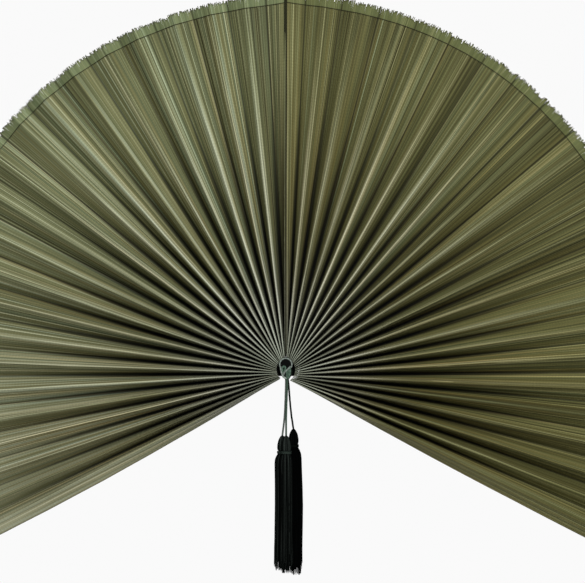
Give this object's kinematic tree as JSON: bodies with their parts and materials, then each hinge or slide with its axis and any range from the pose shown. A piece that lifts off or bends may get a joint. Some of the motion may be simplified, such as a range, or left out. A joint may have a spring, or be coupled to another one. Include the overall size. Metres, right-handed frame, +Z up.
{
  "type": "bamboo wall fan",
  "caption": "Large pleated fan of dyed bamboo matting that opens round a hub peg on a wall and folds shut, with a cord loop and hanging tassels.",
  "frame": {"origin": "on the wall plane at the axis of the hub peg", "axes": "+Z up along the seam, +X to the right seen from the front, +Y into the wall, so the front faces -Y"},
  "size_m": [0.8009, 0.0352, 0.6137],
  "materials": {
    "bamboo": "dyed olive bamboo slivers, matt",
    "peg": "black stained, satin",
    "cord": "sage green twisted cord",
    "thread": "dark green thread",
    "tassel": "near black yarn"
  },
  "bodies": {
    "hub": {"hub_peg": "peg", "stringing_cord": "thread", "left_seam_panel": "bamboo", "right_seam_panel": "bamboo"},
    "right_pleat_01": {"right_pleat_01": "bamboo"},
    "right_pleat_02": {"right_pleat_02": "bamboo"},
    "right_pleat_03": {"right_pleat_03": "bamboo"},
    "right_pleat_04": {"right_pleat_04": "bamboo"},
    "right_pleat_05": {"right_pleat_05": "bamboo"},
    "right_pleat_06": {"right_pleat_06": "bamboo"},
    "right_pleat_07": {"right_pleat_07": "bamboo"},
    "right_pleat_08": {"right_pleat_08": "bamboo"},
    "right_pleat_09": {"right_pleat_09": "bamboo"},
    "right_pleat_10": {"right_pleat_10": "bamboo"},
    "right_pleat_11": {"right_pleat_11": "bamboo"},
    "right_pleat_12": {"right_pleat_12": "bamboo"},
    "right_pleat_13": {"right_pleat_13": "bamboo"},
    "right_pleat_14": {"right_pleat_14": "bamboo"},
    "right_pleat_15": {"right_pleat_15": "bamboo"},
    "right_pleat_16": {"right_pleat_16": "bamboo"},
    "right_pleat_17": {"right_pleat_17": "bamboo"},
    "right_pleat_18": {"right_pleat_18": "bamboo"},
    "right_pleat_19": {"right_pleat_19": "bamboo"},
    "right_pleat_20": {"right_pleat_20": "bamboo"},
    "right_pleat_21": {"right_pleat_21": "bamboo"},
    "left_pleat_01": {"left_pleat_01": "bamboo"},
    "left_pleat_02": {"left_pleat_02": "bamboo"},
    "left_pleat_03": {"left_pleat_03": "bamboo"},
    "left_pleat_04": {"left_pleat_04": "bamboo"},
    "left_pleat_05": {"left_pleat_05": "bamboo"},
    "left_pleat_06": {"left_pleat_06": "bamboo"},
    "left_pleat_07": {"left_pleat_07": "bamboo"},
    "left_pleat_08": {"left_pleat_08": "bamboo"},
    "left_pleat_09": {"left_pleat_09": "bamboo"},
    "left_pleat_10": {"left_pleat_10": "bamboo"},
    "left_pleat_11": {"left_pleat_11": "bamboo"},
    "left_pleat_12": {"left_pleat_12": "bamboo"},
    "left_pleat_13": {"left_pleat_13": "bamboo"},
    "left_pleat_14": {"left_pleat_14": "bamboo"},
    "left_pleat_15": {"left_pleat_15": "bamboo"},
    "left_pleat_16": {"left_pleat_16": "bamboo"},
    "left_pleat_17": {"left_pleat_17": "bamboo"},
    "left_pleat_18": {"left_pleat_18": "bamboo"},
    "left_pleat_19": {"left_pleat_19": "bamboo"},
    "left_pleat_20": {"left_pleat_20": "bamboo"},
    "left_pleat_21": {"left_pleat_21": "bamboo"},
    "hanger": {"hanging_loop": "cord", "hanger_knot": "cord"},
    "left_drop": {"left_drop_cord": "cord", "left_tassel": "tassel", "left_tassel_binding": "thread"},
    "middle_drop": {"middle_drop_cord": "cord", "middle_tassel": "tassel", "middle_tassel_binding": "thread"},
    "right_drop": {"right_drop_cord": "cord", "right_tassel": "tassel", "right_tassel_binding": "thread"}
  },
  "joints": [
    {"name": "right_fold_01", "type": "hinge", "parent": "hub", "child": "right_pleat_01", "pos_m": [0.00077, -0.011, 0.00838], "axis": [0, -1, 0], "range_deg": [0, 5.75], "deforming": ["right_pleat_01"]},
    {"name": "right_fold_02", "type": "hinge", "parent": "right_pleat_01", "child": "right_pleat_02", "pos_m": [0.00227, -0.011, 0.00804], "axis": [0, -1, 0], "range_deg": [0, 5.64], "deforming": ["right_pleat_02"]},
    {"name": "right_fold_03", "type": "hinge", "parent": "right_pleat_02", "child": "right_pleat_03", "pos_m": [0.00379, -0.011, 0.00752], "axis": [0, -1, 0], "range_deg": [0, 6.47], "deforming": ["right_pleat_03"]},
    {"name": "right_fold_04", "type": "hinge", "parent": "right_pleat_03", "child": "right_pleat_04", "pos_m": [0.00519, -0.011, 0.00687], "axis": [0, -1, 0], "range_deg": [0, 5.37], "deforming": ["right_pleat_04"]},
    {"name": "right_fold_05", "type": "hinge", "parent": "right_pleat_04", "child": "right_pleat_05", "pos_m": [0.00647, -0.011, 0.00611], "axis": [0, -1, 0], "range_deg": [0, 6.16], "deforming": ["right_pleat_05"]},
    {"name": "right_fold_06", "type": "hinge", "parent": "right_pleat_05", "child": "right_pleat_06", "pos_m": [0.00773, -0.011, 0.00517], "axis": [0, -1, 0], "range_deg": [0, 6.09], "deforming": ["right_pleat_06"]},
    {"name": "right_fold_07", "type": "hinge", "parent": "right_pleat_06", "child": "right_pleat_07", "pos_m": [0.00878, -0.011, 0.00419], "axis": [0, -1, 0], "range_deg": [0, 5.4], "deforming": ["right_pleat_07"]},
    {"name": "right_fold_08", "type": "hinge", "parent": "right_pleat_07", "child": "right_pleat_08", "pos_m": [0.00976, -0.011, 0.00308], "axis": [0, -1, 0], "range_deg": [0, 6.49], "deforming": ["right_pleat_08"]},
    {"name": "right_fold_09", "type": "hinge", "parent": "right_pleat_08", "child": "right_pleat_09", "pos_m": [0.0106, -0.011, 0.00187], "axis": [0, -1, 0], "range_deg": [0, 5.57], "deforming": ["right_pleat_09"]},
    {"name": "right_fold_10", "type": "hinge", "parent": "right_pleat_09", "child": "right_pleat_10", "pos_m": [0.01127, -0.011, 0.00067], "axis": [0, -1, 0], "range_deg": [0, 5.82], "deforming": ["right_pleat_10"]},
    {"name": "right_fold_11", "type": "hinge", "parent": "right_pleat_10", "child": "right_pleat_11", "pos_m": [0.01184, -0.011, -0.00066], "axis": [0, -1, 0], "range_deg": [0, 6.33], "deforming": ["right_pleat_11"]},
    {"name": "right_fold_12", "type": "hinge", "parent": "right_pleat_11", "child": "right_pleat_12", "pos_m": [0.01224, -0.011, -0.00196], "axis": [0, -1, 0], "range_deg": [0, 5.27], "deforming": ["right_pleat_12"]},
    {"name": "right_fold_13", "type": "hinge", "parent": "right_pleat_12", "child": "right_pleat_13", "pos_m": [0.0125, -0.011, -0.00326], "axis": [0, -1, 0], "range_deg": [0, 6.22], "deforming": ["right_pleat_13"]},
    {"name": "right_fold_14", "type": "hinge", "parent": "right_pleat_13", "child": "right_pleat_14", "pos_m": [0.01262, -0.011, -0.00462], "axis": [0, -1, 0], "range_deg": [0, 5.73], "deforming": ["right_pleat_14"]},
    {"name": "right_fold_15", "type": "hinge", "parent": "right_pleat_14", "child": "right_pleat_15", "pos_m": [0.01261, -0.011, -0.00586], "axis": [0, -1, 0], "range_deg": [0, 5.3], "deforming": ["right_pleat_15"]},
    {"name": "right_fold_16", "type": "hinge", "parent": "right_pleat_15", "child": "right_pleat_16", "pos_m": [0.01247, -0.011, -0.00711], "axis": [0, -1, 0], "range_deg": [0, 6.09], "deforming": ["right_pleat_16"]},
    {"name": "right_fold_17", "type": "hinge", "parent": "right_pleat_16", "child": "right_pleat_17", "pos_m": [0.01222, -0.011, -0.00829], "axis": [0, -1, 0], "range_deg": [0, 4.94], "deforming": ["right_pleat_17"]},
    {"name": "right_fold_18", "type": "hinge", "parent": "right_pleat_17", "child": "right_pleat_18", "pos_m": [0.01189, -0.011, -0.00934], "axis": [0, -1, 0], "range_deg": [0, 5.28], "deforming": ["right_pleat_18"]},
    {"name": "right_fold_19", "type": "hinge", "parent": "right_pleat_18", "child": "right_pleat_19", "pos_m": [0.01146, -0.011, -0.01035], "axis": [0, -1, 0], "range_deg": [0, 5.12], "deforming": ["right_pleat_19"]},
    {"name": "right_fold_20", "type": "hinge", "parent": "right_pleat_19", "child": "right_pleat_20", "pos_m": [0.01101, -0.011, -0.0112], "axis": [0, -1, 0], "range_deg": [0, 4.08], "deforming": ["right_pleat_20"]},
    {"name": "right_fold_21", "type": "hinge", "parent": "right_pleat_20", "child": "right_pleat_21", "pos_m": [0.01055, -0.011, -0.01194], "axis": [0, -1, 0], "range_deg": [0, 4.39], "deforming": ["right_pleat_21"]},
    {"name": "left_fold_01", "type": "hinge", "parent": "hub", "child": "left_pleat_01", "pos_m": [-0.00087, -0.011, 0.00837], "axis": [0, 1, 0], "range_deg": [0, 6.51], "deforming": ["left_pleat_01"]},
    {"name": "left_fold_02", "type": "hinge", "parent": "left_pleat_01", "child": "left_pleat_02", "pos_m": [-0.00245, -0.011, 0.00799], "axis": [0, 1, 0], "range_deg": [0, 5.56], "deforming": ["left_pleat_02"]},
    {"name": "left_fold_03", "type": "hinge", "parent": "left_pleat_02", "child": "left_pleat_03", "pos_m": [-0.00388, -0.011, 0.00749], "axis": [0, 1, 0], "range_deg": [0, 5.87], "deforming": ["left_pleat_03"]},
    {"name": "left_fold_04", "type": "hinge", "parent": "left_pleat_03", "child": "left_pleat_04", "pos_m": [-0.00532, -0.011, 0.0068], "axis": [0, 1, 0], "range_deg": [0, 6.36], "deforming": ["left_pleat_04"]},
    {"name": "left_fold_05", "type": "hinge", "parent": "left_pleat_04", "child": "left_pleat_05", "pos_m": [-0.00661, -0.011, 0.00602], "axis": [0, 1, 0], "range_deg": [0, 5.33], "deforming": ["left_pleat_05"]},
    {"name": "left_fold_06", "type": "hinge", "parent": "left_pleat_05", "child": "left_pleat_06", "pos_m": [-0.00779, -0.011, 0.00511], "axis": [0, 1, 0], "range_deg": [0, 6.36], "deforming": ["left_pleat_06"]},
    {"name": "left_fold_07", "type": "hinge", "parent": "left_pleat_06", "child": "left_pleat_07", "pos_m": [-0.00891, -0.011, 0.00406], "axis": [0, 1, 0], "range_deg": [0, 5.87], "deforming": ["left_pleat_07"]},
    {"name": "left_fold_08", "type": "hinge", "parent": "left_pleat_07", "child": "left_pleat_08", "pos_m": [-0.00983, -0.011, 0.00298], "axis": [0, 1, 0], "range_deg": [0, 5.56], "deforming": ["left_pleat_08"]},
    {"name": "left_fold_09", "type": "hinge", "parent": "left_pleat_08", "child": "left_pleat_09", "pos_m": [-0.01067, -0.011, 0.00177], "axis": [0, 1, 0], "range_deg": [0, 6.49], "deforming": ["left_pleat_09"]},
    {"name": "left_fold_10", "type": "hinge", "parent": "left_pleat_09", "child": "left_pleat_10", "pos_m": [-0.01135, -0.011, 0.00051], "axis": [0, 1, 0], "range_deg": [0, 5.4], "deforming": ["left_pleat_10"]},
    {"name": "left_fold_11", "type": "hinge", "parent": "left_pleat_10", "child": "left_pleat_11", "pos_m": [-0.01187, -0.011, -0.00075], "axis": [0, 1, 0], "range_deg": [0, 6.04], "deforming": ["left_pleat_11"]},
    {"name": "left_fold_12", "type": "hinge", "parent": "left_pleat_11", "child": "left_pleat_12", "pos_m": [-0.01228, -0.011, -0.00212], "axis": [0, 1, 0], "range_deg": [0, 6.13], "deforming": ["left_pleat_12"]},
    {"name": "left_fold_13", "type": "hinge", "parent": "left_pleat_12", "child": "left_pleat_13", "pos_m": [-0.01252, -0.011, -0.00341], "axis": [0, 1, 0], "range_deg": [0, 5.27], "deforming": ["left_pleat_13"]},
    {"name": "left_fold_14", "type": "hinge", "parent": "left_pleat_13", "child": "left_pleat_14", "pos_m": [-0.01263, -0.011, -0.00472], "axis": [0, 1, 0], "range_deg": [0, 6.29], "deforming": ["left_pleat_14"]},
    {"name": "left_fold_15", "type": "hinge", "parent": "left_pleat_14", "child": "left_pleat_15", "pos_m": [-0.0126, -0.011, -0.00603], "axis": [0, 1, 0], "range_deg": [0, 5.43], "deforming": ["left_pleat_15"]},
    {"name": "left_fold_16", "type": "hinge", "parent": "left_pleat_15", "child": "left_pleat_16", "pos_m": [-0.01245, -0.011, -0.00722], "axis": [0, 1, 0], "range_deg": [0, 5.39], "deforming": ["left_pleat_16"]},
    {"name": "left_fold_17", "type": "hinge", "parent": "left_pleat_16", "child": "left_pleat_17", "pos_m": [-0.01218, -0.011, -0.00842], "axis": [0, 1, 0], "range_deg": [0, 5.86], "deforming": ["left_pleat_17"]},
    {"name": "left_fold_18", "type": "hinge", "parent": "left_pleat_17", "child": "left_pleat_18", "pos_m": [-0.01183, -0.011, -0.00949], "axis": [0, 1, 0], "range_deg": [0, 4.67], "deforming": ["left_pleat_18"]},
    {"name": "left_fold_19", "type": "hinge", "parent": "left_pleat_18", "child": "left_pleat_19", "pos_m": [-0.01142, -0.011, -0.01044], "axis": [0, 1, 0], "range_deg": [0, 5.17], "deforming": ["left_pleat_19"]},
    {"name": "left_fold_20", "type": "hinge", "parent": "left_pleat_19", "child": "left_pleat_20", "pos_m": [-0.01093, -0.011, -0.01134], "axis": [0, 1, 0], "range_deg": [0, 4.57], "deforming": ["left_pleat_20"]},
    {"name": "left_fold_21", "type": "hinge", "parent": "left_pleat_20", "child": "left_pleat_21", "pos_m": [-0.01047, -0.011, -0.01206], "axis": [0, 1, 0], "range_deg": [0, 3.73], "deforming": ["left_pleat_21"]},
    {"name": "tassel_swing", "type": "hinge", "parent": "hub", "child": "hanger", "pos_m": [0, -0.019, 0], "axis": [0, 1, 0], "range_deg": [-20, 20]},
    {"name": "left_tassel_swing", "type": "hinge", "parent": "hanger", "child": "left_drop", "pos_m": [0.0004, -0.0223, -0.0153], "axis": [0, 1, 0], "range_deg": [0, 12]},
    {"name": "middle_tassel_swing", "type": "hinge", "parent": "hanger", "child": "middle_drop", "pos_m": [0.0015, -0.0243, -0.0153], "axis": [-1, 0, 0], "range_deg": [0, 20]},
    {"name": "right_tassel_swing", "type": "hinge", "parent": "hanger", "child": "right_drop", "pos_m": [0.0026, -0.0223, -0.0153], "axis": [0, -1, 0], "range_deg": [0, 12]}
  ],
  "couplings": [
    {"joint": "right_fold_02", "follows": "right_fold_01", "ratio": 0.97854},
    {"joint": "right_fold_03", "follows": "right_fold_01", "ratio": 1.1228},
    {"joint": "right_fold_04", "follows": "right_fold_01", "ratio": 0.93151},
    {"joint": "right_fold_05", "follows": "right_fold_01", "ratio": 1.0693},
    {"joint": "right_fold_06", "follows": "right_fold_01", "ratio": 1.0571},
    {"joint": "right_fold_07", "follows": "right_fold_01", "ratio": 0.93682},
    {"joint": "right_fold_08", "follows": "right_fold_01", "ratio": 1.1253},
    {"joint": "right_fold_09", "follows": "right_fold_01", "ratio": 0.96561},
    {"joint": "right_fold_10", "follows": "right_fold_01", "ratio": 1.0089},
    {"joint": "right_fold_11", "follows": "right_fold_01", "ratio": 1.0976},
    {"joint": "right_fold_12", "follows": "right_fold_01", "ratio": 0.91341},
    {"joint": "right_fold_13", "follows": "right_fold_01", "ratio": 1.0789},
    {"joint": "right_fold_14", "follows": "right_fold_01", "ratio": 0.99316},
    {"joint": "right_fold_15", "follows": "right_fold_01", "ratio": 0.91938},
    {"joint": "right_fold_16", "follows": "right_fold_01", "ratio": 1.0574},
    {"joint": "right_fold_17", "follows": "right_fold_01", "ratio": 0.85735},
    {"joint": "right_fold_18", "follows": "right_fold_01", "ratio": 0.91535},
    {"joint": "right_fold_19", "follows": "right_fold_01", "ratio": 0.88841},
    {"joint": "right_fold_20", "follows": "right_fold_01", "ratio": 0.70667},
    {"joint": "right_fold_21", "follows": "right_fold_01", "ratio": 0.76108},
    {"joint": "left_fold_01", "follows": "right_fold_01", "ratio": 1.1289},
    {"joint": "left_fold_02", "follows": "right_fold_01", "ratio": 0.96476},
    {"joint": "left_fold_03", "follows": "right_fold_01", "ratio": 1.0191},
    {"joint": "left_fold_04", "follows": "right_fold_01", "ratio": 1.1031},
    {"joint": "left_fold_05", "follows": "right_fold_01", "ratio": 0.92482},
    {"joint": "left_fold_06", "follows": "right_fold_01", "ratio": 1.1035},
    {"joint": "left_fold_07", "follows": "right_fold_01", "ratio": 1.0177},
    {"joint": "left_fold_08", "follows": "right_fold_01", "ratio": 0.96454},
    {"joint": "left_fold_09", "follows": "right_fold_01", "ratio": 1.1265},
    {"joint": "left_fold_10", "follows": "right_fold_01", "ratio": 0.93717},
    {"joint": "left_fold_11", "follows": "right_fold_01", "ratio": 1.0478},
    {"joint": "left_fold_12", "follows": "right_fold_01", "ratio": 1.0626},
    {"joint": "left_fold_13", "follows": "right_fold_01", "ratio": 0.91451},
    {"joint": "left_fold_14", "follows": "right_fold_01", "ratio": 1.0913},
    {"joint": "left_fold_15", "follows": "right_fold_01", "ratio": 0.94184},
    {"joint": "left_fold_16", "follows": "right_fold_01", "ratio": 0.93493},
    {"joint": "left_fold_17", "follows": "right_fold_01", "ratio": 1.0158},
    {"joint": "left_fold_18", "follows": "right_fold_01", "ratio": 0.80951},
    {"joint": "left_fold_19", "follows": "right_fold_01", "ratio": 0.89633},
    {"joint": "left_fold_20", "follows": "right_fold_01", "ratio": 0.79192},
    {"joint": "left_fold_21", "follows": "right_fold_01", "ratio": 0.64559}
  ]
}
